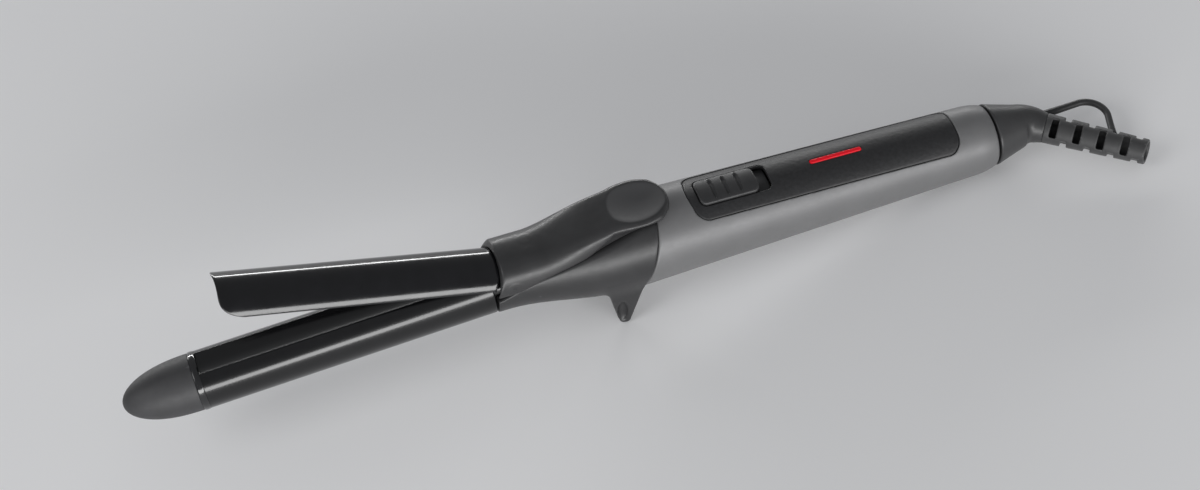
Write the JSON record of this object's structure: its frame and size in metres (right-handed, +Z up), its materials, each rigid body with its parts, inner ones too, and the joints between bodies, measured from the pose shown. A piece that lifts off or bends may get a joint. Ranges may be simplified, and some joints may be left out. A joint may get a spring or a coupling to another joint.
{
  "type": "curling iron",
  "caption": "Hair curling iron: round heated barrel, sprung clamp with thumb lever, slide switch, rest legs, tapered handle and swivel cord outlet with a hanging loop.",
  "frame": {"origin": "middle of the bounding box, on the surface that the iron rests on", "axes": "+X runs from the barrel tip to the cord outlet, +Z is up, with the iron resting on its two legs and the back edge of its handle"},
  "size_m": [0.3474, 0.045, 0.0743],
  "materials": {
    "coated_barrel": "gloss black hard coating",
    "coated_clamp": "gloss black coating",
    "tip_ring": "gloss",
    "tip_cap": "matt, slightly grained",
    "ceramic": "matt",
    "spreader_aluminium": "extruded",
    "insulation_film": "translucent amber film",
    "fuse_case": "plated",
    "lead_insulation": "silicone",
    "collar_plastic": "satin",
    "lever_plastic": "satin",
    "screw_steel": "zinc plated",
    "pin_steel": "ground",
    "spring_steel": "drawn wire",
    "handle_plastic": "satin dark grey",
    "panel_plastic": "fine texture",
    "button_plastic": "satin",
    "switch_plastic": "moulded",
    "brass_contacts": "stamped",
    "chassis_plastic": "moulded",
    "board_laminate": "solder mask",
    "led_lens": "clear",
    "indicator_lens": "translucent red",
    "resistor_coating": "lacquer",
    "capacitor_case": "moulded",
    "wire_insulation": "PVC",
    "bush_plastic": "nylon",
    "elbow_plastic": "satin",
    "boot_rubber": "matt soft PVC",
    "loop_plastic": "satin"
  },
  "bodies": {
    "housing": {"barrel_tube": "coated_barrel", "tip_ring": "tip_ring", "tip_cap": "tip_cap", "ceramic_heater": "ceramic", "heat_spreaders": "spreader_aluminium", "heater_insulation": "insulation_film", "thermal_fuse": "fuse_case", "heater_leads": "lead_insulation", "wire_guide": "ceramic", "lower_collar": "collar_plastic", "barrel_screws": "screw_steel", "hinge_pin": "pin_steel", "clamp_spring": "spring_steel", "handle_shell": "handle_plastic", "handle_screws": "screw_steel", "control_panel": "panel_plastic", "switch_body": "switch_plastic", "switch_terminals": "brass_contacts", "inner_chassis": "chassis_plastic", "chassis_screws": "screw_steel", "circuit_board": "board_laminate", "indicator_led": "led_lens", "indicator_lens": "indicator_lens", "board_resistors": "resistor_coating", "film_capacitor": "capacitor_case", "handle_wires": "wire_insulation", "brush_springs": "brass_contacts", "swivel_bush": "bush_plastic"},
    "clamp": {"clamp_lever": "lever_plastic", "clamp_plate": "coated_clamp", "clamp_screws": "screw_steel"},
    "button": {"slide_button": "button_plastic"},
    "swivel": {"swivel_elbow": "elbow_plastic", "swivel_clip": "spring_steel", "contact_ring": "brass_contacts", "contact_pin": "brass_contacts", "cord_boot": "boot_rubber", "hanging_loop": "loop_plastic"}
  },
  "joints": [
    {"name": "clamp_hinge", "type": "hinge", "parent": "housing", "child": "clamp", "pos_m": [-0.045, 0.00719, 0.03279], "axis": [0, 1, 0], "range_deg": [-20.3, 0], "stiffness_Nm_per_rad": 0.16, "springref_deg": -42.97},
    {"name": "button_slide", "type": "slide", "parent": "housing", "child": "button", "axis": [0.9954, 0, -0.0958], "range_m": [0, 0.004]},
    {"name": "cord_swivel", "type": "hinge", "parent": "housing", "child": "swivel", "pos_m": [0.12401, 0.00719, 0.0112], "axis": [0.9954, 0, -0.0958], "continuous": true}
  ]
}
